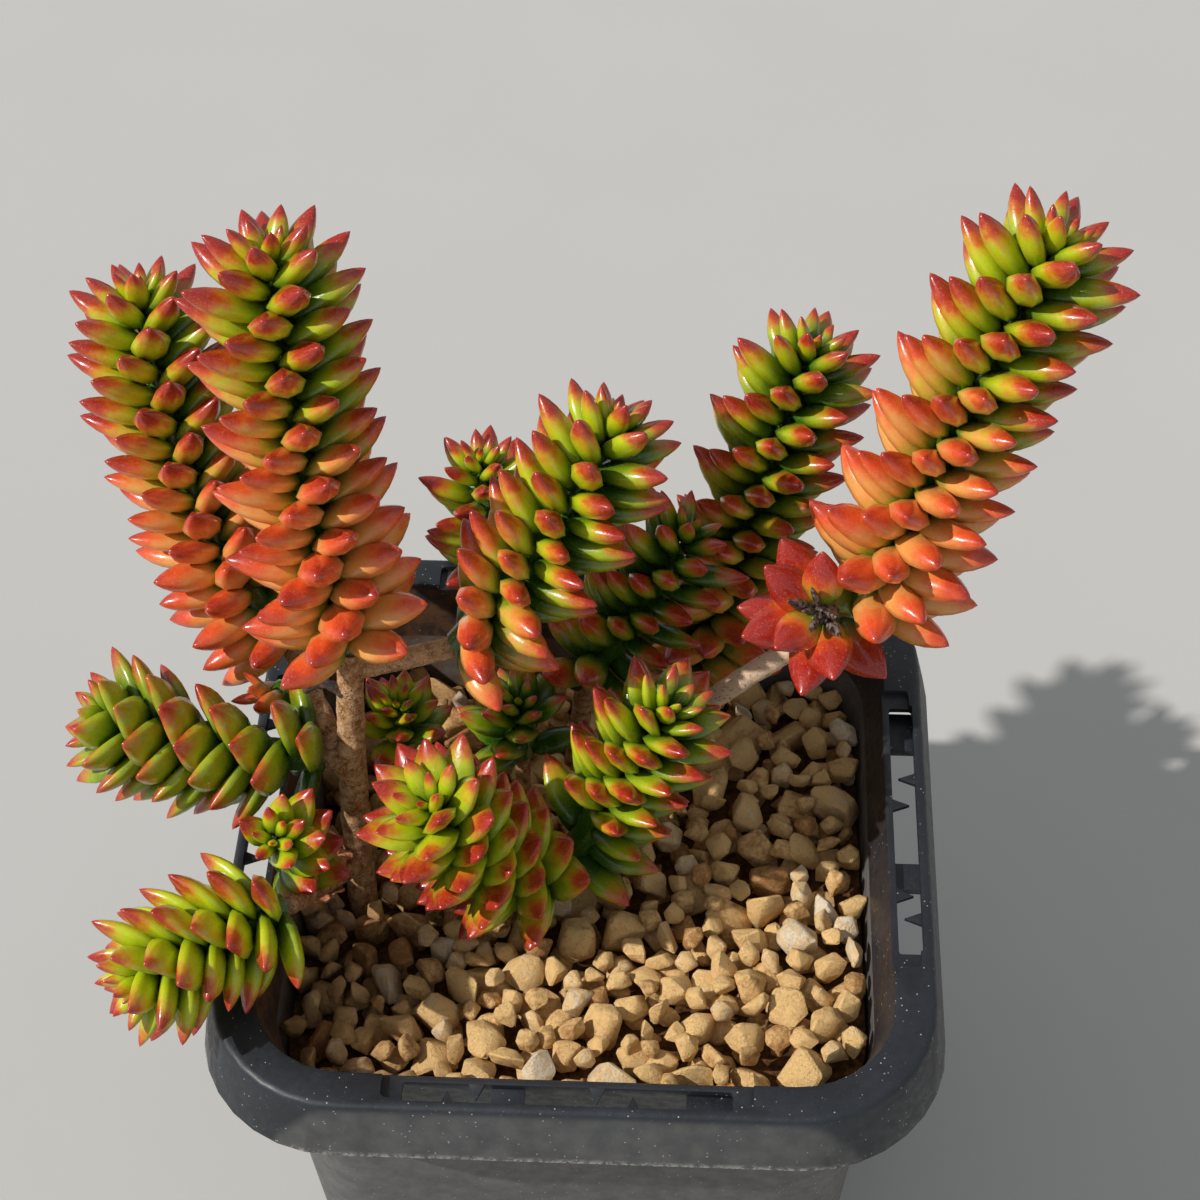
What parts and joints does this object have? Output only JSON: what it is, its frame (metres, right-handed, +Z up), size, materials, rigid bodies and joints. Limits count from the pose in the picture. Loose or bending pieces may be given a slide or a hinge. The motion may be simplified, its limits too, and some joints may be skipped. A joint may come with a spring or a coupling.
{
  "type": "potted spiral staircase sedum",
  "caption": "Succulent with upright columns of plump spirally set leaves on bare branching stems, rooted in coarse grit in a small square plastic nursery pot.",
  "frame": {"origin": "centre of the pot's flat base, on the surface that it stands on", "axes": "+Z up out of the pot, +Y away from the pot's front side, +X to the right of that side"},
  "size_m": [0.127, 0.0949, 0.1679],
  "materials": {
    "pot_plastic": "satin moulded plastic with dust",
    "grit": "matte porous",
    "bark": "rough bark",
    "leaf": "smooth waxy leaf skin",
    "withered": "dry and wrinkled"
  },
  "bodies": {
    "root": {"back_left_branch": "bark", "back_left_rosette": "leaf", "back_left_shoot": "leaf", "back_left_stem": "bark", "back_right_shoot": "leaf", "centre_back_stem": "bark", "centre_branch": "bark", "centre_shoot": "leaf", "cut_stub": "bark", "dry_leaf_curl": "withered", "far_back_shoot": "leaf", "far_back_stem": "bark", "front_right_rosette": "leaf", "front_rosette": "leaf", "front_stem": "bark", "grit_bed": "grit", "inner_rosette": "leaf", "inner_stem": "bark", "left_branch": "bark", "left_shoot": "leaf", "lower_left_branch": "bark", "main_trunk": "bark", "nursery_pot": "pot_plastic", "orange_side_shoot": "leaf", "red_rosette": "leaf", "right_back_stem": "bark", "right_branch": "bark", "rim_shoot": "leaf", "rosette_stalk": "bark", "shaded_shoot": "leaf", "small_left_rosette": "leaf", "tall_left_shoot": "leaf", "tall_right_shoot": "leaf", "withered_leaf_left": "withered", "withered_shoot_centre": "withered"}
  },
  "joints": []
}
